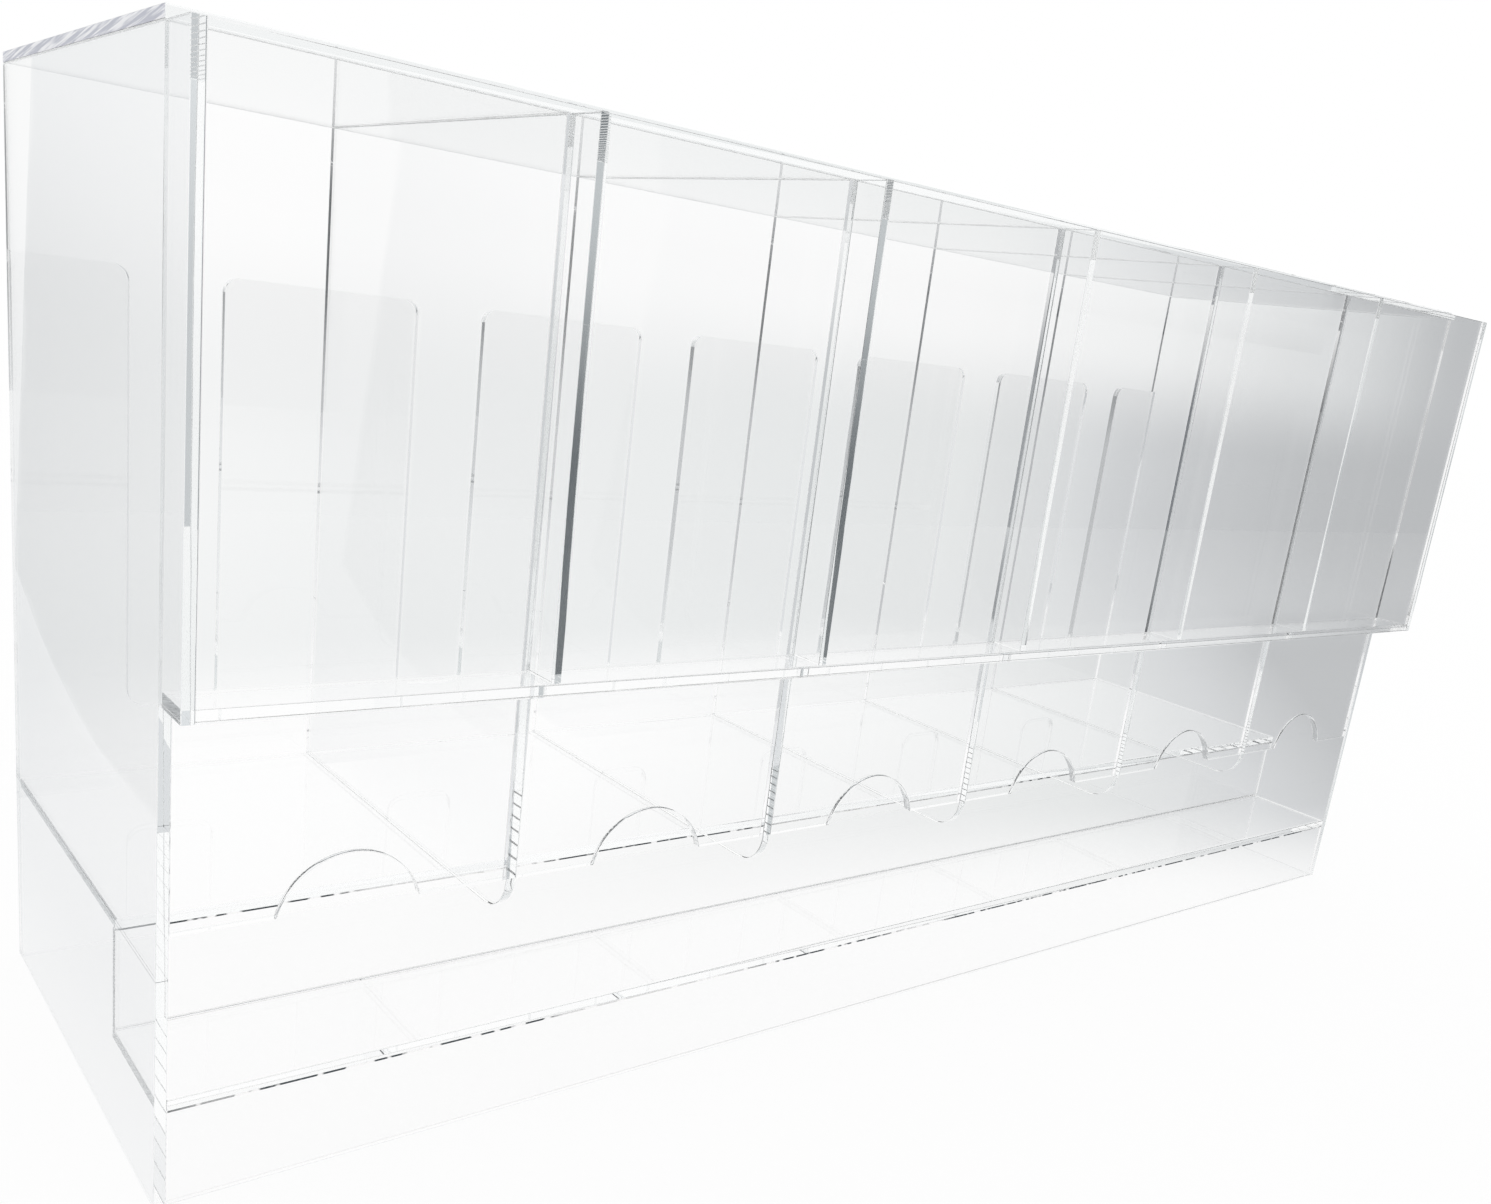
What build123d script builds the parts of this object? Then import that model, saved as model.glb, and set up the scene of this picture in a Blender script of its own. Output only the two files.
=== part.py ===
from build123d import *
import os

# Booster pack dispenser made of clear acrylic sheet, in millimetres.
# +X runs along the width to the right, the front faces -Y and +Z is up.
# The origin is on the counter, at the middle of the footprint of the whole dispenser.

# Stock
sheet = 2.5              # thickness of every sheet
cement_gap = 0.1         # cement line between two sheets

# Columns that hold the stacked packs
columns = 6
column_width = 77.5      # clear width between two uprights
column_depth = 128.5     # clear depth from the front plate to the back panel

# Heights, from the counter up
tray_height = 26.0       # counter to the tray floor's top face
riser_height = 26.0      # tray floor's top face to the shelf's underside
pack_gap = 10.0          # shelf's top face to the front plates' lower edge, one pack high
plate_drop = 50.5        # how far the front plates show below the display pockets
pocket_height = 123.5    # height of the display window

# Depths
pocket_depth = 12.0      # clear depth of a display pocket
riser_setback = 33.0     # how far the riser stands back from the lower front

# Back panel
slot_sill = 18.5         # shelf's top face to the bottom of the back slots
slot_width = 22.0
slot_radius = 5.0        # rounded bottom corners of a slot
loading_height = 43.5    # clear height of the loading opening above the tabs
tab_radius = 4.0         # rounded top corners of a tab

# Finger notch in each front plate, an arc whose centre lies below the plate's lower edge
notch_radius = 17.0
notch_drop = 4.0

# Rounded lower front corner of each divider
nose_radius = 10.0

# Places along X
pitch = column_width + sheet
width = columns * pitch + sheet
x_left = -width / 2
x_right = width / 2
x_inner_left = x_left + sheet + cement_gap
x_inner_right = x_right - sheet - cement_gap

# Places along Y: hood is the front of the upper part, front is that of the lower part
depth = sheet + pocket_depth + sheet + column_depth + sheet
y_hood = -depth / 2
y_window_back = y_hood + sheet
y_front = y_window_back + pocket_depth
y_riser = y_front + riser_setback
y_back = depth / 2
y_column_back = y_back - sheet

# Places along Z
z_tray = tray_height
z_shelf = z_tray + riser_height + sheet
z_plate = z_shelf + pack_gap
z_hood = z_plate + plate_drop
z_pocket = z_hood + sheet
z_stack = z_hood + pocket_height
z_slot = z_shelf + slot_sill
z_tab = z_stack - loading_height

os.makedirs("parts", exist_ok=True)


def rectangle(low_u, high_u, low_v, high_v):
    """A rectangle in a sheet's own plane, from its lowest to its highest corner."""
    middle = Pos((low_u + high_u) / 2, (low_v + high_v) / 2)
    return middle * Rectangle(high_u - low_u, high_v - low_v)


def upright_along_depth(outline, left_face):
    """A standing sheet that runs from front to back. The outline is drawn in Y and Z."""
    face_plane = Plane(origin=(left_face, 0, 0), x_dir=(0, 1, 0), z_dir=(1, 0, 0))
    return extrude(face_plane * outline, sheet)


def upright_along_width(outline, front_face):
    """A standing sheet that runs from side to side. The outline is drawn in X and Z."""
    back_plane = Plane(origin=(0, front_face + sheet, 0), x_dir=(1, 0, 0), z_dir=(0, -1, 0))
    return extrude(back_plane * outline, sheet)


def lying_flat(outline, lower_face):
    """A level sheet. The outline is drawn in X and Y."""
    return extrude(Pos(0, 0, lower_face) * outline, sheet)


def side_panel(left_face):
    """Full-height end with the step that carries the display pockets."""
    lower = rectangle(y_front, y_back, 0, z_stack)
    upper = rectangle(y_hood, y_back, z_hood, z_stack)
    return upright_along_depth(lower + upper, left_face)


def divider(number):
    """Wall between two columns. Its lower front corner is rounded so that packs slide out freely."""
    end = y_column_back - cement_gap
    lower = rectangle(y_front, end, z_shelf + cement_gap, z_stack)
    upper = rectangle(y_window_back + cement_gap, end, z_pocket + cement_gap, z_stack)
    outline = lower + upper
    nose = outline.vertices().group_by(Axis.Y)[0].sort_by(Axis.X)[0]
    return upright_along_depth(fillet(nose, nose_radius), x_left + number * pitch)


def column_front(number):
    """Front plate of one column, between two uprights, with the arched finger notch."""
    low_x = x_left + (number - 1) * pitch + sheet + cement_gap
    high_x = x_left + number * pitch - cement_gap
    plate = rectangle(low_x, high_x, z_plate, z_stack)
    notch = Pos((low_x + high_x) / 2, z_plate - notch_drop) * Circle(notch_radius)
    return upright_along_width(plate - notch, y_front)


def back_slot(number):
    """Open-topped slot behind one column, with rounded bottom corners."""
    middle_x = x_left + sheet + column_width / 2 + (number - 1) * pitch
    slot = rectangle(middle_x - slot_width / 2, middle_x + slot_width / 2, z_slot, z_stack)
    bottom_corners = slot.vertices().group_by(Axis.Y)[0]
    return fillet(bottom_corners, slot_radius)


def back_panel():
    """Comb-shaped back: a tab behind each divider, half a tab at each end."""
    comb = rectangle(x_inner_left, x_inner_right, 0, z_tab)
    for number in range(1, columns + 1):
        comb -= back_slot(number)
    tab_corners = comb.vertices().group_by(Axis.Y)[-1].sort_by(Axis.X)[1:-1]
    return upright_along_width(fillet(tab_corners, tab_radius), y_column_back)


def top_plate():
    """Lies over the side panels and columns and leaves the display pockets open."""
    return lying_flat(rectangle(x_left, x_right, y_front, y_back), z_stack + cement_gap)


def shelf():
    """Floor of all columns, from the riser to the back panel."""
    outline = rectangle(x_inner_left, x_inner_right, y_riser, y_column_back - cement_gap)
    return lying_flat(outline, z_shelf - sheet)


def riser():
    """Step between the tray floor and the shelf."""
    outline = rectangle(x_inner_left, x_inner_right, z_tray + cement_gap, z_shelf - sheet - cement_gap)
    return upright_along_width(outline, y_riser)


def tray_floor():
    """Floor in front of the riser and under it."""
    return lying_flat(rectangle(x_inner_left, x_inner_right, y_front, y_riser + sheet), z_tray - sheet)


def front_skirt():
    """Closes the front between the counter and the tray floor."""
    outline = rectangle(x_inner_left, x_inner_right, 0, z_tray - sheet - cement_gap)
    return upright_along_width(outline, y_front)


def display_window():
    """Front sheet of the display pockets, between the side panels."""
    return upright_along_width(rectangle(x_inner_left, x_inner_right, z_hood, z_stack), y_hood)


def pocket_floor():
    """Strip under the display pockets, between the window and the front plates."""
    outline = rectangle(x_inner_left, x_inner_right, y_window_back + cement_gap, y_front - cement_gap)
    return lying_flat(outline, z_hood)


pieces = {
    "left_side_panel": side_panel(x_left),
    "right_side_panel": side_panel(x_right - sheet),
    "back_panel": back_panel(),
    "top_plate": top_plate(),
    "shelf": shelf(),
    "riser": riser(),
    "tray_floor": tray_floor(),
    "front_skirt": front_skirt(),
    "display_window": display_window(),
    "pocket_floor": pocket_floor(),
}
for number in range(1, columns):
    pieces[f"divider_{number}"] = divider(number)
for number in range(1, columns + 1):
    pieces[f"column_front_{number}"] = column_front(number)

for name, shape in pieces.items():
    export_step(shape, f"parts/{name}.step")
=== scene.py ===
import math

import bmesh
import bpy
from mathutils import Euler, Matrix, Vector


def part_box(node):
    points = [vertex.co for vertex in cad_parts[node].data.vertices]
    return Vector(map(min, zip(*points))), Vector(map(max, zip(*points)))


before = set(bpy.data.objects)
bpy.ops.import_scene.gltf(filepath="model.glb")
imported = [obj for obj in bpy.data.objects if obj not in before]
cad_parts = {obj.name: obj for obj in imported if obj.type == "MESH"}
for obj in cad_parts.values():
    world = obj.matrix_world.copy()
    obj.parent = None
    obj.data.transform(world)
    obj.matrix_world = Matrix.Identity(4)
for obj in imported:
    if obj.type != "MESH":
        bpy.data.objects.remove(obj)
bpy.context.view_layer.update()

bl_info = {
    "name": "Booster pack dispenser",
    "version": (1, 0, 0),
    "blender": (4, 5, 0),
    "location": "View3D > Sidebar > Dispenser",
    "description": "Dresses a clear acrylic booster pack dispenser around its packed solids",
    "category": "Object",
}

MM = 0.001
X, Y, Z = 0, 1, 2

# The sheets of the dispenser, by the axis that their broad faces point along.
UPRIGHT_SHEETS = ["left_side_panel", "right_side_panel"] + [f"divider_{n}" for n in range(1, 6)]
STANDING_SHEETS = ["riser", "front_skirt", "display_window"]
STANDING_SHEETS += [f"column_front_{n}" for n in range(1, 7)]
LEVEL_SHEETS = ["shelf", "tray_floor", "pocket_floor"]
SCRAPED_SHEETS = ["back_panel", "riser", "shelf", "front_skirt"]

# Cemented edges, as the axis that they face along and their place on it.
DIVIDER_FOOT = (Z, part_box("divider_1")[0][Z])
RISER_TOP = (Z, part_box("riser")[1][Z])
SKIRT_TOP = (Z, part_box("front_skirt")[1][Z])
LEFT_END = (X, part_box("shelf")[0][X])
RIGHT_END = (X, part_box("shelf")[1][X])
SHELF_BACK = (Y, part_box("shelf")[1][Y])

# Sawn end of the top plate, written the same way.
PLATE_LEFT = (X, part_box("top_plate")[0][X])

# Left face of the first divider, and the step from one divider to the next.
DIVIDER_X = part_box("divider_1")[0][X]
DIVIDER_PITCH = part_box("divider_2")[0][X] - DIVIDER_X

# Clear cast acrylic.
ACRYLIC_IOR = 1.49
TINT_DENSITY = 0.35                 # per metre, so that only long paths inside a sheet take the tint
SHEET_MIRROR = 0.15                 # share of the head-on reflection that most sheets keep
BACK_MIRROR = 0.9                   # the same for the back panel, whose tabs show up in grey
CEMENT_CLARITY = 0.2                # how clear a sheet stays at a dash of cement
SAWN_CLARITY = 0.15                 # how clear it stays on a sawn end
SCORE_SLANT = math.radians(83)      # lean of the saw scores, from upright
SCORE_STRETCH = 30.0                # how much longer than wide a score is
BEAM_STRETCH = 0.04                 # draws the beam lines out through the thickness of the sheet
ON_FACE = 0.05 * MM                 # a point this near to a face lies on it
WELD_REACH = 0.001 * MM
SHARP_EDGE = math.radians(40)

# Light runs along inside a sheet with up to thirty mirror bounces before it leaves.
BOUNCES = {"max_bounces": 160, "transmission_bounces": 80, "glossy_bounces": 128,
           "transparent_max_bounces": 48}

# Camera.
SENSOR_WIDTH = 36.0                 # mm
FRAME_SHIFT = (-0.0256, 0.0648)     # share of the picture's width
CLIP = (0.01, 100.0)


def hex_to_linear(code):
    """sRGB hex such as "F2F5F4" to a linear RGBA tuple."""
    channels = [int(code[i:i + 2], 16) / 255 for i in (0, 2, 4)]
    linear = [c / 12.92 if c <= 0.04045 else ((c + 0.055) / 1.055) ** 2.4 for c in channels]
    return (*linear, 1.0)


# Tones of the room that the sheets mirror. A list gives (distance in metres, hex) from low to high.
WHITE = "FFFFFF"
ROOM_FALL = (1.0, -1.13, 0.0)       # direction in which the room darkens
FAR_TONES = [(-1.3, "F8F8F8"), (-0.8, "F4F5F5"), (-0.3, "EDEFEF"), (0.0, "E9EBEB"), (0.16, "E2E4E5"),
             (0.3, "D6D8DA"), (0.45, "CCCED0"), (0.73, "C2C4C6"), (1.15, "BABCBE"), (1.7, "B4B6B8")]
NEAR_TONES = [(-0.2, WHITE), (0.0, "F2F3F3"), (0.16, "E6E8E8"), (0.3, "D4D6D8"), (0.42, "BCBEC0"),
              (1.5, "B0B2B4")]
LEFT_FLOOR = "C9CCCE"               # bare floor beside the paper
DARK_CORNER = "5A6064"              # painted shade of the room just beside the paper
BLACK_CORNER = "10141E"             # unlit part of the room farther left
PAPER_GREYS_FROM = -0.22            # left of here mirrored rays find the paper greyer
FAR_FROM, FAR_FULL = 0.22, 0.42     # depth over which the counter takes the tone of the wall
POOL_SHIFT = (0.03, 0.15, 0)        # the light pool on the counter: place, shape, and radii of its edge
POOL_SHAPE = (0.6, 1.5, 0)
POOL_REACH = (0.14, 0.28)
GLOW_SHARE = 0.95                   # how much of the counter's white is a plain glow, the rest takes shadow


def add_node(tree, kind, settings=None, inputs=None, links=None):
    """Adds one node. settings are its properties, inputs its socket values and links its wired sockets."""
    node = tree.nodes.new(kind)
    for name, value in (settings or {}).items():
        setattr(node, name, value)
    for name, value in (inputs or {}).items():
        node.inputs[name].default_value = value
    for name, source in (links or {}).items():
        tree.links.new(source, node.inputs[name])
    return node


def new_material(name):
    """A material with nothing in it but its output."""
    material = bpy.data.materials.new(name)
    material.use_nodes = True
    tree = material.node_tree
    tree.nodes.clear()
    return material, tree, add_node(tree, "ShaderNodeOutputMaterial")


class AcrylicSettings(bpy.types.PropertyGroup):
    """Finish of the acrylic sheet."""

    edge_roughness: bpy.props.FloatProperty(
        name="Edge roughness", description="Roughness of a cut edge", default=0.015, min=0.0, max=1.0,
        subtype="FACTOR")
    arris_roughness: bpy.props.FloatProperty(
        name="Arris roughness", description="Roughness of a scraped arris", default=0.35, min=0.0, max=1.0,
        subtype="FACTOR")
    sawn_roughness: bpy.props.FloatProperty(
        name="Sawn roughness", description="Roughness of a sawn end", default=0.3, min=0.0, max=1.0,
        subtype="FACTOR")
    arris: bpy.props.FloatProperty(
        name="Arris", description="Width of the scraped edge of the back panel, riser, shelf and skirt",
        default=0.3 * MM, unit="LENGTH")
    fine_arris: bpy.props.FloatProperty(
        name="Fine arris", description="Width of the broken edge of the other sheets", default=0.12 * MM,
        unit="LENGTH")
    seam_width: bpy.props.FloatProperty(
        name="Seam width", description="How far the cement creeps in under a divider", default=0.4 * MM,
        unit="LENGTH")
    beam_pitch: bpy.props.FloatProperty(
        name="Beam line pitch", description="Spacing of the lines that the laser leaves in a cut edge",
        default=0.9 * MM, unit="LENGTH")
    beam_height: bpy.props.FloatProperty(
        name="Beam line height", description="Height of the lines in a cut edge", default=0.001 * MM,
        unit="LENGTH")
    saw_pitch: bpy.props.FloatProperty(
        name="Saw score pitch", description="Spacing of the scores in a sawn end", default=0.55 * MM,
        unit="LENGTH")
    saw_height: bpy.props.FloatProperty(
        name="Saw score height", description="Height of the scores in a sawn end", default=0.05 * MM,
        unit="LENGTH")
    wave_length: bpy.props.FloatProperty(
        name="Casting wave length", description="Length of the faint wave in a broad face",
        default=25 * MM, unit="LENGTH")
    wave_height: bpy.props.FloatProperty(
        name="Casting wave height", description="Height of the faint wave in a broad face",
        default=0.01 * MM, unit="LENGTH")
    dash_length: bpy.props.FloatProperty(
        name="Dash length", description="Length of a dash in a cement line", default=3.5 * MM,
        unit="LENGTH")
    dash_run: bpy.props.FloatProperty(
        name="Dash run", description="Length of a run of bold dashes in a cement line", default=40 * MM,
        unit="LENGTH")
    shadow_tone: bpy.props.FloatProperty(
        name="Shadow tone", description="Share of light that one sheet face lets through", default=0.985,
        min=0.0, max=1.0, subtype="FACTOR")
    depth_tint: bpy.props.FloatVectorProperty(
        name="Depth tint", description="Colour that light takes on along a path inside a sheet",
        default=hex_to_linear("A8C8CC"), size=4, min=0.0, max=1.0, subtype="COLOR")
    cement_colour: bpy.props.FloatVectorProperty(
        name="Cement colour", description="Colour of the dark dashes in a cement line",
        default=hex_to_linear("3C444A"), size=4, min=0.0, max=1.0, subtype="COLOR")
    sawn_clear: bpy.props.FloatVectorProperty(
        name="Sawn end, clear lines", description="Colour of the clearer lines in a sawn end",
        default=hex_to_linear("C0C2CE"), size=4, min=0.0, max=1.0, subtype="COLOR")
    sawn_white: bpy.props.FloatVectorProperty(
        name="Sawn end, white scores", description="Colour of the white scores in a sawn end",
        default=hex_to_linear("FBFBFE"), size=4, min=0.0, max=1.0, subtype="COLOR")


class StageSettings(bpy.types.PropertyGroup):
    """Camera and the room that the sheets mirror."""

    camera_place: bpy.props.FloatVectorProperty(
        name="Camera place", description="Camera position", default=(-0.3163, -0.3297, 0.2011),
        subtype="TRANSLATION", unit="LENGTH")
    camera_heading: bpy.props.FloatProperty(
        name="Camera heading", description="Turn of the view from +Y towards +X",
        default=math.radians(41.12), subtype="ANGLE")
    camera_dip: bpy.props.FloatProperty(
        name="Camera dip", description="How far the camera looks down", default=math.radians(15.06),
        subtype="ANGLE")
    camera_roll: bpy.props.FloatProperty(
        name="Camera roll", description="Tilt of the horizon", default=math.radians(7.66),
        subtype="ANGLE")
    focal_length: bpy.props.FloatProperty(
        name="Focal length", description="Lens focal length on a 36 mm wide sensor", default=32.9,
        unit="CAMERA")
    counter_colour: bpy.props.FloatVectorProperty(
        name="Counter colour", description="Colour of the counter where the object's shadow lies",
        default=hex_to_linear("FAFAFA"), size=4, min=0.0, max=1.0, subtype="COLOR")
    paper_edge: bpy.props.FloatProperty(
        name="Paper edge", description="Where the white paper sweep ends at the left", default=-0.3025,
        unit="LENGTH")
    sweep_start: bpy.props.FloatProperty(
        name="Sweep start", description="Where the paper starts to curve up behind the object",
        default=0.20, unit="LENGTH")
    sweep_radius: bpy.props.FloatProperty(
        name="Sweep radius", description="Radius of the curve in the paper", default=0.46, unit="LENGTH")
    sweep_turn: bpy.props.FloatProperty(
        name="Sweep turn", description="How far the paper curves up before it stands",
        default=math.radians(25.4), subtype="ANGLE")
    room_back: bpy.props.FloatProperty(
        name="Room back", description="Distance of the wall behind the object", default=0.8,
        unit="LENGTH")
    room_right: bpy.props.FloatProperty(
        name="Room right", description="Distance of the wall at the right", default=2.6, unit="LENGTH")
    room_front: bpy.props.FloatProperty(
        name="Room front", description="Distance of the dim wall behind the camera", default=-1.5,
        unit="LENGTH")
    ceiling_height: bpy.props.FloatProperty(
        name="Ceiling height", description="Height of the grey ceiling", default=1.6, unit="LENGTH")


def places_on(tree, where, places, reach):
    """One where the surface lies within reach of one of the places, which are (axis, distance)."""
    found = None
    for axis, distance in places:
        here = add_node(tree, "ShaderNodeMath", settings={"operation": "COMPARE"},
                        inputs={1: distance, 2: reach}, links={0: where.outputs[axis]})
        if found:
            here = add_node(tree, "ShaderNodeMath", settings={"operation": "MAXIMUM"}, links={
                0: found.outputs[0], 1: here.outputs[0]})
        found = here
    return found.outputs[0]


def sheet_material(name, face_axis, seams, cement_side, mirror, sawn_ends=()):
    """Clear cast acrylic sheet, laser-cut and solvent-cemented.

    It was cast between glass plates, so its broad faces are clear and glossy, with a faint long wave. The
    laser melts a cut edge to a gloss, and light that ran along inside the sheet leaves there as a bright
    or dark line. The arris between the two is scraped and looks frosted. Broad faces point along
    face_axis, and every other face is a cut edge. seams are the cut edges that are cemented to a
    neighbour, as (axis, place), and cement_side is 1 or -1 for the broad face that the cement was run in
    along. mirror is how much of its head-on reflection a face keeps. sawn_ends are ends that were sawn
    and left unpolished, written as seams are."""
    settings = bpy.context.scene.dispenser_acrylic
    material, tree, output = new_material(name)
    place = add_node(tree, "ShaderNodeTexCoord")
    where = add_node(tree, "ShaderNodeSeparateXYZ", links={"Vector": place.outputs["Object"]})

    # One on a cut edge and zero on a broad face. The arris between them leans by half a right angle.
    axes = add_node(tree, "ShaderNodeSeparateXYZ", links={"Vector": place.outputs["Normal"]})
    facing = add_node(tree, "ShaderNodeMath", settings={"operation": "ABSOLUTE"},
                      links={0: axes.outputs[face_axis]})
    cut = add_node(tree, "ShaderNodeMath", settings={"operation": "LESS_THAN"}, inputs={1: 0.5},
                   links={0: facing.outputs[0]})
    arris = add_node(tree, "ShaderNodeMath", settings={"operation": "COMPARE"}, inputs={1: 0.7, 2: 0.2},
                     links={0: facing.outputs[0]})

    # The beam leaves lines straight through the thickness of the sheet. Real ones are about 0.1 mm apart,
    # too fine to show, so they are drawn about nine times as coarse.
    stretch = [1.0, 1.0, 1.0]
    stretch[face_axis] = BEAM_STRETCH
    through = add_node(tree, "ShaderNodeMapping", inputs={"Scale": stretch},
                       links={"Vector": place.outputs["Object"]})
    lines = add_node(tree, "ShaderNodeTexNoise",
                     inputs={"Scale": 1 / settings.beam_pitch, "Detail": 1.0, "Roughness": 0.4},
                     links={"Vector": through.outputs["Vector"]})
    # Casting leaves a faint long wave in the broad faces. It bends what is seen through them a little.
    wave = add_node(tree, "ShaderNodeTexNoise",
                    inputs={"Scale": 1 / settings.wave_length, "Detail": 1.0},
                    links={"Vector": place.outputs["Object"]})
    wave_height = add_node(tree, "ShaderNodeMath", settings={"operation": "MULTIPLY"},
                           inputs={1: settings.wave_height}, links={0: wave.outputs["Fac"]})
    line_height = add_node(tree, "ShaderNodeMath", settings={"operation": "MULTIPLY"},
                           inputs={1: settings.beam_height}, links={0: lines.outputs["Fac"]})
    height = add_node(tree, "ShaderNodeMix", links={
        "Factor": cut.outputs[0], "A": wave_height.outputs[0],
        "B": line_height.outputs[0]}).outputs["Result"]

    # Broad faces are polished, cut edges nearly so, with the beam lines in their gloss too.
    rough = settings.edge_roughness
    edge_finish = add_node(tree, "ShaderNodeMapRange", inputs={"To Min": 0.4 * rough, "To Max": 1.6 * rough},
                           links={"Value": lines.outputs["Fac"]})
    finish = add_node(tree, "ShaderNodeMix", inputs={"A": 0.0},
                      links={"Factor": cut.outputs[0], "B": edge_finish.outputs["Result"]})
    finish = add_node(tree, "ShaderNodeMix", inputs={"B": settings.arris_roughness},
                      links={"Factor": arris.outputs[0], "A": finish.outputs["Result"]})

    if sawn_ends:
        # The blade leaves slanting scores across a sawn end. Real ones are about 0.3 mm apart, and they are
        # drawn about twice as coarse to show.
        sawn = places_on(tree, where, sawn_ends, ON_FACE)
        slant = add_node(tree, "ShaderNodeMapping", settings={"vector_type": "TEXTURE"}, inputs={
            "Rotation": (SCORE_SLANT, 0, 0), "Scale": (1.0, 1.0, SCORE_STRETCH)},
            links={"Vector": place.outputs["Object"]})
        scores = add_node(tree, "ShaderNodeTexNoise",
                          inputs={"Scale": 1 / settings.saw_pitch, "Detail": 2.0},
                          links={"Vector": slant.outputs["Vector"]})
        score_height = add_node(tree, "ShaderNodeMath", settings={"operation": "MULTIPLY"},
                                inputs={1: settings.saw_height}, links={0: scores.outputs["Fac"]})
        height = add_node(tree, "ShaderNodeMix", links={
            "Factor": sawn, "A": height, "B": score_height.outputs[0]}).outputs["Result"]
        finish = add_node(tree, "ShaderNodeMix", inputs={"B": settings.sawn_roughness},
                          links={"Factor": sawn, "A": finish.outputs["Result"]})
    relief = add_node(tree, "ShaderNodeBump", inputs={"Strength": 1.0, "Distance": 1.0},
                      links={"Height": height})

    # Solvent cement is run in from one side. It leaves a thin dark line there, broken into dashes by air,
    # with bolder and fainter runs along the seam.
    dashes = add_node(tree, "ShaderNodeTexNoise", inputs={"Scale": 1 / settings.dash_length, "Detail": 1.0},
                      links={"Vector": place.outputs["Object"]})
    runs = add_node(tree, "ShaderNodeTexNoise", inputs={"Scale": 1 / settings.dash_run, "Detail": 0.0},
                    links={"Vector": place.outputs["Object"]})
    dash = add_node(tree, "ShaderNodeMapRange", inputs={"From Min": 0.40, "From Max": 0.48},
                    links={"Value": dashes.outputs["Fac"]})
    run = add_node(tree, "ShaderNodeMapRange", inputs={"From Min": 0.38, "From Max": 0.52, "To Min": 0.3},
                   links={"Value": runs.outputs["Fac"]})
    line = add_node(tree, "ShaderNodeMath", settings={"operation": "MULTIPLY"}, links={
        0: dash.outputs["Result"], 1: run.outputs["Result"]})
    beside_cement = add_node(tree, "ShaderNodeMath", settings={"operation": "COMPARE"},
                             inputs={1: cement_side, 2: 1.0}, links={0: axes.outputs[face_axis]})
    seam_arris = add_node(tree, "ShaderNodeMath", settings={"operation": "MULTIPLY"}, links={
        0: places_on(tree, where, seams, 1.2 * settings.arris), 1: arris.outputs[0]})
    seam_line = add_node(tree, "ShaderNodeMath", settings={"operation": "MULTIPLY"}, links={
        0: seam_arris.outputs[0], 1: beside_cement.outputs[0]})
    trapped = add_node(tree, "ShaderNodeMath", settings={"operation": "MULTIPLY"}, links={
        0: seam_line.outputs[0], 1: line.outputs[0]})
    if face_axis == X:
        # Under a divider the cement creeps in from its left face, as an unbroken line.
        across = add_node(tree, "ShaderNodeMath", settings={"operation": "SUBTRACT"}, inputs={1: DIVIDER_X},
                          links={0: where.outputs[X]})
        across = add_node(tree, "ShaderNodeMath", settings={"operation": "MODULO"},
                          inputs={1: DIVIDER_PITCH}, links={0: across.outputs[0]})
        strip = add_node(tree, "ShaderNodeMath", settings={"operation": "LESS_THAN"},
                         inputs={1: settings.seam_width}, links={0: across.outputs[0]})
        foot = add_node(tree, "ShaderNodeMath", settings={"operation": "MULTIPLY"}, links={
            0: strip.outputs[0], 1: places_on(tree, where, seams, ON_FACE)})
        trapped = add_node(tree, "ShaderNodeMath", settings={"operation": "MAXIMUM"}, links={
            0: trapped.outputs[0], 1: foot.outputs[0]})
    clarity = add_node(tree, "ShaderNodeMapRange", inputs={"To Min": 1.0, "To Max": CEMENT_CLARITY},
                       links={"Value": trapped.outputs[0]}).outputs["Result"]
    body = add_node(tree, "ShaderNodeMix", settings={"data_type": "RGBA"},
                    inputs={6: hex_to_linear(WHITE), 7: settings.cement_colour},
                    links={0: trapped.outputs[0]}).outputs[2]
    if sawn_ends:
        # A sawn face scatters light, in white scores with clearer grey lines between them.
        streak = add_node(tree, "ShaderNodeMapRange", inputs={"From Min": 0.42, "From Max": 0.58},
                          links={"Value": scores.outputs["Fac"]})
        milk = add_node(tree, "ShaderNodeMix", settings={"data_type": "RGBA"},
                        inputs={6: settings.sawn_clear, 7: settings.sawn_white},
                        links={0: streak.outputs["Result"]})
        clarity = add_node(tree, "ShaderNodeMix", inputs={"B": SAWN_CLARITY}, links={
            "Factor": sawn, "A": clarity}).outputs["Result"]
        body = add_node(tree, "ShaderNodeMix", settings={"data_type": "RGBA"},
                        links={0: sawn, 6: body, 7: milk.outputs[2]}).outputs[2]

    glass = add_node(tree, "ShaderNodeBsdfPrincipled", inputs={
        "IOR": ACRYLIC_IOR, "Specular Tint": (mirror, mirror, mirror, 1.0)},
        links={"Base Color": body, "Transmission Weight": clarity,
               "Roughness": finish.outputs["Result"], "Normal": relief.outputs["Normal"]})
    # Clear sheet throws only a faint shadow.
    tone = settings.shadow_tone
    clear = add_node(tree, "ShaderNodeBsdfTransparent", inputs={"Color": (tone, tone, tone, 1.0)})
    path = add_node(tree, "ShaderNodeLightPath")
    mix = add_node(tree, "ShaderNodeMixShader", links={
        "Fac": path.outputs["Is Shadow Ray"], 1: glass.outputs["BSDF"], 2: clear.outputs["BSDF"]})
    tree.links.new(mix.outputs["Shader"], output.inputs["Surface"])
    depth_tint = add_node(tree, "ShaderNodeVolumeAbsorption",
                          inputs={"Color": settings.depth_tint, "Density": TINT_DENSITY})
    tree.links.new(depth_tint.outputs["Volume"], output.inputs["Volume"])
    return material


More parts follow.
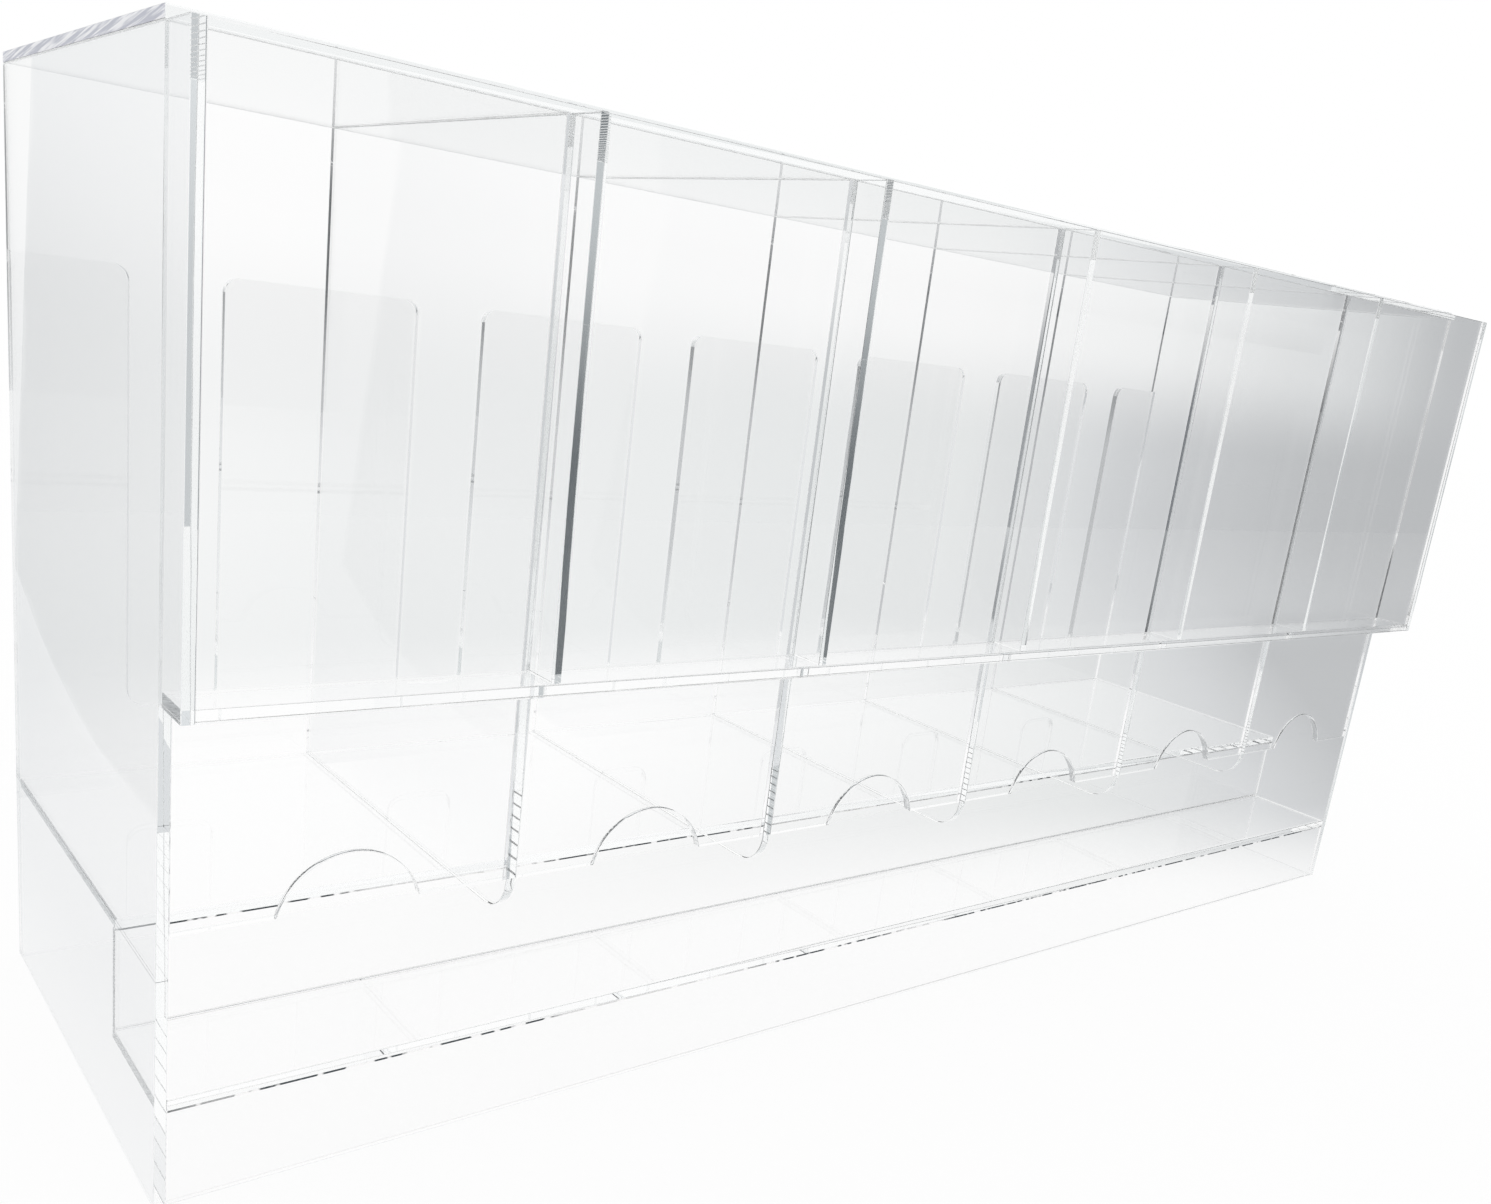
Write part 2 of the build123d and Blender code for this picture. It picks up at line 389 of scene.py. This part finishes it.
def dress(node_names, material):
    """Gives each sheet its material and a fine broken edge all round."""
    settings = bpy.context.scene.dispenser_acrylic
    for name in node_names:
        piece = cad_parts[name]
        piece.data.materials.clear()
        piece.data.materials.append(material)
        weld = piece.modifiers.new("weld", "WELD")
        weld.merge_threshold = WELD_REACH
        arris = piece.modifiers.new("arris", "BEVEL")
        arris.width = settings.arris if name in SCRAPED_SHEETS else settings.fine_arris
        arris.segments = 1
        arris.limit_method = "ANGLE"
        arris.angle_limit = SHARP_EDGE


class DISPENSER_OT_upright_sheets(bpy.types.Operator):
    """Dresses the side panels and the dividers"""

    bl_idname = "dispenser.upright_sheets"
    bl_label = "Side panels and dividers"

    def execute(self, context):
        # Clear cast acrylic on edge to the viewer. Each front edge gathers light from far inside the sheet.
        dress(UPRIGHT_SHEETS, sheet_material("cast_acrylic_upright", X, [DIVIDER_FOOT], 1, SHEET_MIRROR))
        return {"FINISHED"}


class DISPENSER_OT_standing_sheets(bpy.types.Operator):
    """Dresses the column fronts, display window, riser and skirt"""

    bl_idname = "dispenser.standing_sheets"
    bl_label = "Column fronts, window, riser and skirt"

    def execute(self, context):
        # Clear cast acrylic seen straight through, with the cement lines along the riser and the skirt.
        seams = [RISER_TOP, SKIRT_TOP]
        dress(STANDING_SHEETS, sheet_material("cast_acrylic_standing", Y, seams, -1, SHEET_MIRROR))
        return {"FINISHED"}


class DISPENSER_OT_back_panel(bpy.types.Operator):
    """Dresses the comb-shaped back panel"""

    bl_idname = "dispenser.back_panel"
    bl_label = "Back panel"

    def execute(self, context):
        # Clear cast acrylic whose tabs stand out grey, because they mirror the dim room behind the viewer.
        seams = [LEFT_END, RIGHT_END]
        dress(["back_panel"], sheet_material("cast_acrylic_back", Y, seams, 1, BACK_MIRROR))
        return {"FINISHED"}


class DISPENSER_OT_level_sheets(bpy.types.Operator):
    """Dresses the shelf, tray floor and pocket floor"""

    bl_idname = "dispenser.level_sheets"
    bl_label = "Shelf, tray and pocket floors"

    def execute(self, context):
        # Clear cast acrylic lying flat, cemented at both ends and along the back.
        seams = [LEFT_END, RIGHT_END, SHELF_BACK]
        dress(LEVEL_SHEETS, sheet_material("cast_acrylic_level", Z, seams, -1, SHEET_MIRROR))
        return {"FINISHED"}


class DISPENSER_OT_top_plate(bpy.types.Operator):
    """Dresses the top plate with its sawn left end"""

    bl_idname = "dispenser.top_plate"
    bl_label = "Top plate"

    def execute(self, context):
        # Clear cast acrylic with one end left as it was sawn, milky and streaked.
        material = sheet_material("cast_acrylic_top", Z, [SHELF_BACK], -1, SHEET_MIRROR, [PLATE_LEFT])
        dress(["top_plate"], material)
        return {"FINISHED"}


def make_camera(settings):
    data = bpy.data.cameras.new("camera")
    data.lens = settings.focal_length
    data.sensor_width = SENSOR_WIDTH
    data.shift_x, data.shift_y = FRAME_SHIFT
    data.clip_start, data.clip_end = CLIP
    camera = bpy.data.objects.new("camera", data)
    bpy.context.collection.objects.link(camera)
    turn = Euler((math.pi / 2 - settings.camera_dip, 0.0, -settings.camera_heading), "XYZ").to_matrix()
    roll = Matrix.Rotation(settings.camera_roll, 3, "Z")
    camera.rotation_euler = (turn @ roll).to_euler()
    camera.location = settings.camera_place
    bpy.context.scene.camera = camera


def make_world():
    """White all round, so that the sheets stand against white from every side."""
    world = bpy.data.worlds.new("white_surround")
    bpy.context.scene.world = world
    world.use_nodes = True
    tree = world.node_tree
    tree.nodes.clear()
    output = add_node(tree, "ShaderNodeOutputWorld")
    light = add_node(tree, "ShaderNodeBackground", inputs={"Strength": 1.0, "Color": hex_to_linear(WHITE)})
    tree.links.new(light.outputs["Background"], output.inputs["Surface"])


def along(tree, direction):
    """How far a point lies along direction."""
    place = add_node(tree, "ShaderNodeTexCoord")
    distance = add_node(tree, "ShaderNodeVectorMath", settings={"operation": "DOT_PRODUCT"},
                        inputs={1: direction}, links={0: place.outputs["Object"]})
    return distance.outputs["Value"]


def tone_ramp(tree, distance, stops):
    """Colour that changes with distance. stops are (distance, hex) from low to high."""
    low, high = stops[0][0], stops[-1][0]
    across = add_node(tree, "ShaderNodeMapRange", inputs={"From Min": low, "From Max": high},
                      links={"Value": distance})
    ramp = add_node(tree, "ShaderNodeValToRGB", links={"Fac": across.outputs["Result"]})
    marks = ramp.color_ramp.elements
    while len(marks) < len(stops):
        marks.new(0.5)
    for mark, (position, tone) in zip(marks, stops):
        mark.position = (position - low) / (high - low)
        mark.color = hex_to_linear(tone)
    return ramp.outputs["Color"]


def card_material(name, reflections, direction, low_tones, high_tones=None, rise=(0.0, 1.0)):
    """Studio card that glows with painted room light and shade. The camera and the light on the counter
    pass through it.

    Only rays that left a sheet meet it, after at least so many reflections. Its tone runs from
    low_tones to high_tones over the heights in rise, and along direction within each."""
    material, tree, output = new_material(name)
    path = add_node(tree, "ShaderNodeLightPath")
    left_sheet = add_node(tree, "ShaderNodeMath", settings={"operation": "MAXIMUM"}, links={
        0: path.outputs["Is Transmission Ray"], 1: path.outputs["Is Glossy Ray"]})
    bent = add_node(tree, "ShaderNodeMath", settings={"operation": "GREATER_THAN"},
                    inputs={1: reflections - 0.5}, links={0: path.outputs["Glossy Depth"]})
    met = add_node(tree, "ShaderNodeMath", settings={"operation": "MULTIPLY"}, links={
        0: left_sheet.outputs[0], 1: bent.outputs[0]})
    tone = tone_ramp(tree, along(tree, direction), low_tones)
    if high_tones:
        share = add_node(tree, "ShaderNodeMapRange", settings={"interpolation_type": "SMOOTHSTEP"},
                         inputs={"From Min": rise[0], "From Max": rise[1]},
                         links={"Value": along(tree, (0, 0, 1))})
        tone = add_node(tree, "ShaderNodeMix", settings={"data_type": "RGBA"}, links={
            0: share.outputs["Result"], 6: tone,
            7: tone_ramp(tree, along(tree, direction), high_tones)}).outputs[2]
    clear = add_node(tree, "ShaderNodeBsdfTransparent")
    face = add_node(tree, "ShaderNodeEmission", inputs={"Strength": 1.0}, links={"Color": tone})
    mix = add_node(tree, "ShaderNodeMixShader", links={
        0: met.outputs[0], 1: clear.outputs["BSDF"], 2: face.outputs["Emission"]})
    tree.links.new(mix.outputs["Shader"], output.inputs["Surface"])
    return material


def make_card(name, start, end, rise, material, curve=None):
    """Card that rises from the line between start and end. curve is (radius, turn) of a bend at its foot."""
    mesh = bpy.data.meshes.new(name)
    shape = bmesh.new()
    edge = shape.edges.new([shape.verts.new(start), shape.verts.new(end)])
    if curve:
        radius, turn = curve
        spun = bmesh.ops.spin(shape, geom=[edge, *edge.verts], cent=(0, start[1], radius), axis=(1, 0, 0),
                              angle=turn, steps=16, use_merge=False, use_duplicate=False)
        edge = next(item for item in spun["geom_last"] if isinstance(item, bmesh.types.BMEdge))
    lifted = bmesh.ops.extrude_edge_only(shape, edges=[edge])
    bmesh.ops.translate(shape, vec=rise, verts=[
        item for item in lifted["geom"] if isinstance(item, bmesh.types.BMVert)])
    shape.to_mesh(mesh)
    shape.free()
    card = bpy.data.objects.new(name, mesh)
    bpy.context.collection.objects.link(card)
    mesh.materials.append(material)


def make_floor(settings):
    """White counter. The sheets show the dim ends of the room in it, the camera sees it white."""
    bpy.ops.mesh.primitive_plane_add(size=12.0, location=(0, 0, 0))
    floor = bpy.context.object
    floor.name = "counter"
    # Matt white laminate. Its fine-grained face spreads light evenly, so it shows no highlight.
    material, tree, output = new_material("matt_white_laminate")
    path = add_node(tree, "ShaderNodeLightPath")
    place = add_node(tree, "ShaderNodeTexCoord")
    axes = add_node(tree, "ShaderNodeSeparateXYZ", links={"Vector": place.outputs["Object"]})
    diffuse = add_node(tree, "ShaderNodeBsdfDiffuse", inputs={"Color": settings.counter_colour})
    white = hex_to_linear(WHITE)

    # Painted shade: the counter dims towards the right, and farther back it takes the tone of the wall.
    back = add_node(tree, "ShaderNodeMath", settings={"operation": "MAXIMUM"}, inputs={1: 0.0},
                    links={0: axes.outputs["Y"]})
    fall = add_node(tree, "ShaderNodeMath", settings={"operation": "MULTIPLY_ADD"},
                    inputs={1: ROOM_FALL[Y]}, links={0: back.outputs[0], 2: axes.outputs["X"]})
    near_tone = tone_ramp(tree, fall.outputs[0], NEAR_TONES)
    far_tone = tone_ramp(tree, along(tree, ROOM_FALL), FAR_TONES)
    far = add_node(tree, "ShaderNodeMapRange", settings={"interpolation_type": "SMOOTHSTEP"},
                   inputs={"From Min": FAR_FROM, "From Max": FAR_FULL},
                   links={"Value": axes.outputs["Y"]})
    room = add_node(tree, "ShaderNodeMix", settings={"data_type": "RGBA"}, links={
        0: far.outputs["Result"], 6: near_tone, 7: far_tone})
    # A painted pool of light: it is lightest in a long pool under the front of the dispenser.
    pool_place = add_node(tree, "ShaderNodeMapping",
                          inputs={"Location": POOL_SHIFT, "Scale": POOL_SHAPE},
                          links={"Vector": place.outputs["Object"]})
    pool_reach = add_node(tree, "ShaderNodeVectorMath", settings={"operation": "LENGTH"},
                          links={0: pool_place.outputs["Vector"]})
    outside_pool = add_node(tree, "ShaderNodeMapRange", settings={"interpolation_type": "SMOOTHSTEP"},
                            inputs={"From Min": POOL_REACH[0], "From Max": POOL_REACH[1]},
                            links={"Value": pool_reach.outputs["Value"]})
    pool = add_node(tree, "ShaderNodeMix", settings={"data_type": "RGBA"}, inputs={6: white},
                    links={0: outside_pool.outputs["Result"], 7: room.outputs[2]})

    # Rays with one to three reflections find the paper greyer towards its left edge, and the bare floor
    # past it, behind the front of the dispenser.
    mirrored = add_node(tree, "ShaderNodeMath", settings={"operation": "COMPARE"}, inputs={1: 2.0, 2: 1.5},
                        links={0: path.outputs["Glossy Depth"]})
    left_tone = tone_ramp(tree, axes.outputs["X"], [
        (-0.6, LEFT_FLOOR), (settings.paper_edge - 1 * MM, LEFT_FLOOR), (settings.paper_edge, "DCDEE0"),
        (-0.26, "E2E4E6"), (PAPER_GREYS_FROM, WHITE)])
    left_part = add_node(tree, "ShaderNodeMath", settings={"operation": "LESS_THAN"},
                         inputs={1: PAPER_GREYS_FROM}, links={0: axes.outputs["X"]})
    left_mirrored = add_node(tree, "ShaderNodeMath", settings={"operation": "MULTIPLY"}, links={
        0: left_part.outputs[0], 1: mirrored.outputs[0]})
    behind = add_node(tree, "ShaderNodeMath", settings={"operation": "GREATER_THAN"}, inputs={1: -0.1},
                      links={0: axes.outputs["Y"]})
    left_mirrored = add_node(tree, "ShaderNodeMath", settings={"operation": "MULTIPLY"}, links={
        0: left_mirrored.outputs[0], 1: behind.outputs[0]})
    dim = add_node(tree, "ShaderNodeMix", settings={"data_type": "RGBA"}, links={
        0: left_mirrored.outputs[0], 6: pool.outputs[2], 7: left_tone})
    tone = add_node(tree, "ShaderNodeMix", settings={"data_type": "RGBA"}, inputs={7: white},
                    links={0: path.outputs["Is Camera Ray"], 6: dim.outputs[2]})

    # Most of what is seen glows at a plain white, the rest takes the object's shadow.
    glow = add_node(tree, "ShaderNodeEmission", inputs={"Strength": 1.0}, links={"Color": tone.outputs[2]})
    mirror = add_node(tree, "ShaderNodeMath", settings={"operation": "MAXIMUM"}, links={
        0: path.outputs["Is Camera Ray"], 1: path.outputs["Is Glossy Ray"]})
    seen = add_node(tree, "ShaderNodeMath", settings={"operation": "MAXIMUM"}, links={
        0: mirror.outputs[0], 1: path.outputs["Is Transmission Ray"]})
    share = add_node(tree, "ShaderNodeMath", settings={"operation": "MULTIPLY"}, inputs={1: GLOW_SHARE},
                     links={0: seen.outputs[0]})
    mix = add_node(tree, "ShaderNodeMixShader", links={
        0: share.outputs[0], 1: diffuse.outputs["BSDF"], 2: glow.outputs["Emission"]})
    tree.links.new(mix.outputs["Shader"], output.inputs["Surface"])
    floor.data.materials.append(material)


def make_room(settings):
    """Walls, ceiling and paper, in painted room light and shade, that only show in the sheets."""
    back, right, front = settings.room_back, settings.room_right, settings.room_front
    top = settings.ceiling_height
    far_left, near_left, back_left = -1.65, -0.36, -0.393   # ends of the left wall, start of the back
    step = 0.01                         # cards in front of the wall stand this far apart
    # The wall at the left is light near the paper and black farther out.
    left_low = [(far_left, WHITE), (-1.53, WHITE), (-1.49, BLACK_CORNER), (-1.36, BLACK_CORNER),
                (-1.26, "585C64"), (-1.12, "6A6E74"), (-0.96, "8A8E92"), (-0.80, LEFT_FLOOR),
                (near_left, LEFT_FLOOR)]
    left_high = [(far_left, WHITE), (-0.9, WHITE), (-0.6, "EAECEE"), (-0.50, "E0E3E5"),
                 (near_left, "E2E5E7")]
    left = card_material("left_card", 1, (1, 0, 0), left_low, left_high, (0.15, 0.36))
    make_card("left_card", (far_left, back - step, 0), (near_left, back - step, 0), (0, 0, 0.8), left)
    # On the floor before it a band of painted shade, black in its middle, runs slantwise where the fifth
    # divider's seam looks. The tones go by the distance across the band.
    left_floor = card_material("left_floor", 1, (0.475, 0.88, 0), [
        (-0.08, WHITE), (-0.025, WHITE), (0.0, BLACK_CORNER), (0.045, BLACK_CORNER),
        (0.075, "74787C"), (0.15, "8A8E92"), (0.24, LEFT_FLOOR)])
    make_card("left_floor", (-0.43, 0.29, 0.001), (-1.9, 0.29, 0.001), (-0.45, 0.5, 0), left_floor)

    # Light that ran far inside a divider finds a dark corner of painted shade just beside the paper, and
    # white past it.
    corner_end = -0.54
    corner_low = [(far_left, WHITE), (-0.86, WHITE), (-0.79, DARK_CORNER), (corner_end, DARK_CORNER)]
    corner_high = [(far_left, WHITE), (-0.86, WHITE), (-0.79, "C4C8CA"), (corner_end, "C4C8CA")]
    corner = card_material("dark_corner", 4, (1, 0, 0), corner_low, corner_high, (0.05, 0.3))
    make_card("dark_corner", (far_left, back - 2 * step, 0), (corner_end, back - 2 * step, 0),
              (0, 0, 0.5), corner)
    corner_floor = card_material("dark_corner_floor", 4, (0.736, 0.677, 0), [
        (-0.06, WHITE), (-0.035, WHITE), (-0.015, DARK_CORNER), (0.1, DARK_CORNER)])
    make_card("dark_corner_floor", (-0.325, 0.35, 0.002), (-1.6, 0.35, 0.002), (-0.22, 0.43, 0),
              corner_floor)

    # White paper lies under the object and curves up behind it. Only the strip along its left edge is
    # made, which is the part that the left panel mirrors.
    paper = card_material("paper_sweep", 1, (0, 0, 1), [(0.0, "DEE0E2"), (0.06, "E2E4E6"), (0.25, "F4F5F5")])
    make_card("paper_sweep", (settings.paper_edge, settings.sweep_start, 0),
              (settings.paper_edge + 0.12, settings.sweep_start, 0), (0, -0.2, 0.89), paper,
              (settings.sweep_radius, settings.sweep_turn))

    # The wall behind the object darkens to the right, and less so above.
    far_high = [(-1.3, WHITE), (-0.04, WHITE), (0.35, "FAFBFB"), (0.85, "E2E4E5"), (1.15, "C2C4C6"),
                (1.7, "B8BABC")]
    behind = card_material("back_card", 0, ROOM_FALL, FAR_TONES, far_high, (0.10, 0.24))
    make_card("back_card", (back_left, back, 0), (right, back, 0), (0, 0, top), behind)

    side_low = [(front, "B6B8BA"), (back, "B6B8BA")]
    side_high = [(front, "9A9C9E"), (back, "B6B8BA")]
    side = card_material("side_card", 1, (0, 1, 0), side_low, side_high, (0.0, 0.5))
    make_card("side_card", (right, front, 0), (right, back, 0), (0, 0, top), side)

    # Behind the camera the room is dark, but only low down, so that the top plate mirrors white.
    front_left, front_rise, fade_rise = -0.8, 0.3, 0.2
    front_low = [(front_left, "B6B8BA"), (right, "B6B8BA")]
    front_high = [(front_left, "383C40"), (1.0, "404448"), (right, "9A9C9E")]
    dim = card_material("front_card", 1, (1, 0, 0), front_low, front_high, (0.02, 0.2))
    make_card("front_card", (front_left, front, 0), (right, front, 0), (0, 0, front_rise), dim)
    dusk = card_material("front_card_top", 1, (0, 0, 1), [
        (front_rise, "4C5054"), (0.42, "C8CACC"), (front_rise + fade_rise, WHITE)])
    make_card("front_card_top", (front_left, front, front_rise), (right, front, front_rise),
              (0, 0, fade_rise), dusk)

    ceiling = card_material("ceiling_card", 0, (0, 1, 0), [(front, "C8CACC"), (back, "D2D4D6")])
    make_card("ceiling_card", (-1.2, front, top), (right, front, top), (0, back - front, 0), ceiling)


class DISPENSER_OT_stage(bpy.types.Operator):
    """Adds the counter, the room and the camera"""

    bl_idname = "dispenser.stage"
    bl_label = "Stage"

    def execute(self, context):
        settings = context.scene.dispenser_stage
        make_camera(settings)
        make_world()
        make_floor(settings)
        make_room(settings)
        context.scene.view_settings.view_transform = "Standard"
        for name, count in BOUNCES.items():
            setattr(context.scene.cycles, name, count)
        return {"FINISHED"}


class DISPENSER_PT_panel(bpy.types.Panel):
    """Lists the steps that dress the dispenser"""

    bl_idname = "DISPENSER_PT_panel"
    bl_label = "Booster pack dispenser"
    bl_space_type = "VIEW_3D"
    bl_region_type = "UI"
    bl_category = "Dispenser"

    def draw(self, context):
        for operator in OPERATORS:
            self.layout.operator(operator.bl_idname)


OPERATORS = (DISPENSER_OT_upright_sheets, DISPENSER_OT_standing_sheets, DISPENSER_OT_back_panel,
             DISPENSER_OT_level_sheets, DISPENSER_OT_top_plate, DISPENSER_OT_stage)
CLASSES = (AcrylicSettings, StageSettings, *OPERATORS, DISPENSER_PT_panel)


def register():
    for item in CLASSES:
        bpy.utils.register_class(item)
    bpy.types.Scene.dispenser_acrylic = bpy.props.PointerProperty(type=AcrylicSettings)
    bpy.types.Scene.dispenser_stage = bpy.props.PointerProperty(type=StageSettings)


def unregister():
    del bpy.types.Scene.dispenser_stage
    del bpy.types.Scene.dispenser_acrylic
    for item in reversed(CLASSES):
        bpy.utils.unregister_class(item)


def main():
    register()
    bpy.ops.dispenser.upright_sheets()
    bpy.ops.dispenser.standing_sheets()
    bpy.ops.dispenser.back_panel()
    bpy.ops.dispenser.level_sheets()
    bpy.ops.dispenser.top_plate()
    bpy.ops.dispenser.stage()


if __name__ == "__main__":
    main()
